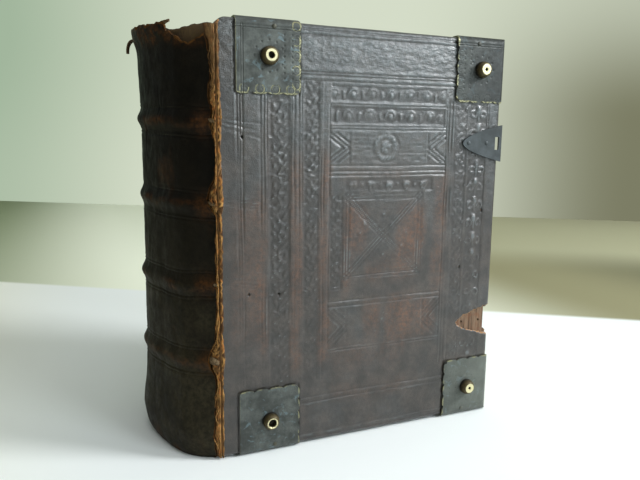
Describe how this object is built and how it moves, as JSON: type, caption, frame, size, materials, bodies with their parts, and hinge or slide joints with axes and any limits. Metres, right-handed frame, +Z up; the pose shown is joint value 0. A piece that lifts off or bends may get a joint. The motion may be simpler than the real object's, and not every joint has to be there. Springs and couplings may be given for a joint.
{
  "type": "antique leather book",
  "caption": "Thick antique book standing upright, leather over hinged wooden boards, raised bands on the spine, brass corner plates with bosses and a catch plate.",
  "frame": {"origin": "middle of the footprint, on the surface that the book stands on", "axes": "+Z up to the head of the book, +X towards the fore-edge, front cover facing -Y"},
  "size_m": [0.2232, 0.1266, 0.25],
  "materials": {
    "pages": "uncut edges, browned with age",
    "spine_leather": "dark, rubbed brown on the bands",
    "cover_leather": "dark, blind-tooled, rubbed red-brown",
    "parchment": "dull",
    "cord": "hemp, frayed",
    "endband": "thread over a core",
    "wood": "old beech, dull",
    "pasted_paper": "browned",
    "dark_brass": "dark patina, pale worn edges",
    "boss_brass": "dark below, bright where worn",
    "pins": "dull"
  },
  "bodies": {
    "book_block": {"pages": "pages", "spine_leather": "spine_leather", "spine_linings": "parchment", "sewing_cords": "cord", "headband": "endband", "tailband": "endband"},
    "front_cover": {"front_board": "wood", "front_leather": "cover_leather", "front_pastedown": "pasted_paper", "front_lacings": "cord", "front_plate_pins": "pins", "catch_plate": "dark_brass", "catch_pins": "pins", "front_plate_head_joint": "dark_brass", "front_plate_head_fore": "dark_brass", "front_plate_tail_joint": "dark_brass", "front_plate_tail_fore": "dark_brass", "front_boss_head_joint": "boss_brass", "front_boss_head_fore": "boss_brass", "front_boss_tail_joint": "boss_brass", "front_boss_tail_fore": "boss_brass"},
    "back_cover": {"back_board": "wood", "back_leather": "cover_leather", "back_pastedown": "pasted_paper", "back_lacings": "cord", "back_plate_pins": "pins", "back_plate_head_joint": "dark_brass", "back_plate_head_fore": "dark_brass", "back_plate_tail_joint": "dark_brass", "back_plate_tail_fore": "dark_brass", "back_boss_head_joint": "boss_brass", "back_boss_head_fore": "boss_brass", "back_boss_tail_joint": "boss_brass", "back_boss_tail_fore": "boss_brass"}
  },
  "joints": [
    {"name": "front_joint", "type": "hinge", "parent": "book_block", "child": "front_cover", "pos_m": [-0.0762, -0.0575, 0.125], "axis": [0, 0, -1], "range_deg": [0, 170]},
    {"name": "back_joint", "type": "hinge", "parent": "book_block", "child": "back_cover", "pos_m": [-0.0762, 0.0575, 0.125], "axis": [0, 0, 1], "range_deg": [0, 170]}
  ]
}
